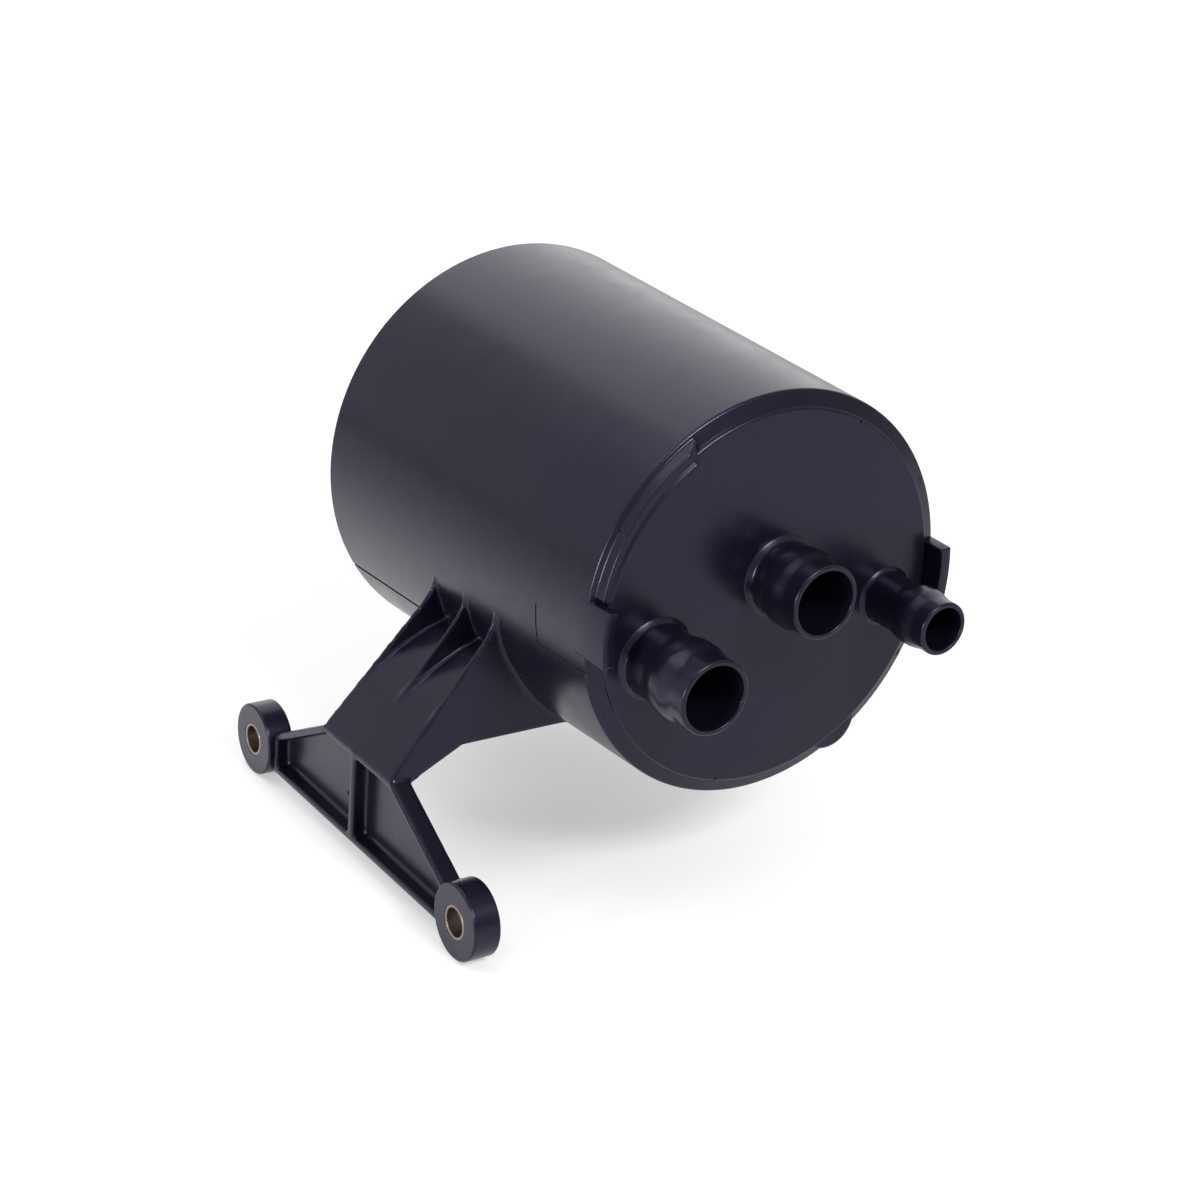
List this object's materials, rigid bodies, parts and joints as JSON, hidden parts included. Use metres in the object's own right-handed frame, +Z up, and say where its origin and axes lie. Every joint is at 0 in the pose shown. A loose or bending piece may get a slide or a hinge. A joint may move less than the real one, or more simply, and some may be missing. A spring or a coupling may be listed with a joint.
{
  "type": "charcoal canister",
  "caption": "Round moulded charcoal canister with barbed hose spigots on its front and a bolted bracket; it holds fuel vapour in carbon beds.",
  "frame": {"origin": "midway between the two bolt holes, on the mounting face of the lugs", "axes": "+X from the mounting face to the body, +Y from the spigots to the rear cover, +Z up"},
  "size_m": [0.126, 0.132, 0.1238],
  "materials": {
    "body_plastic": "satin bluish-black moulded polyamide",
    "bush_metal": "dull turned metal, slightly bronze inside",
    "grid_plastic": "plain black moulding",
    "fleece": "white needled felt",
    "carbon": "black carbon pellets",
    "spring_steel": "bright drawn wire"
  },
  "bodies": {
    "root": {"canister_body": "body_plastic", "rear_cover": "body_plastic", "bush_front": "bush_metal", "bush_rear": "bush_metal", "front_grid_small": "grid_plastic", "front_grid_large": "grid_plastic", "pressure_plate_small": "grid_plastic", "pressure_plate_large": "grid_plastic", "front_fleece_small": "fleece", "front_fleece_large": "fleece", "rear_fleece_small": "fleece", "rear_fleece_large": "fleece", "carbon_bed_small": "carbon", "carbon_bed_large": "carbon", "spring_small": "spring_steel", "spring_large": "spring_steel"}
  },
  "joints": []
}
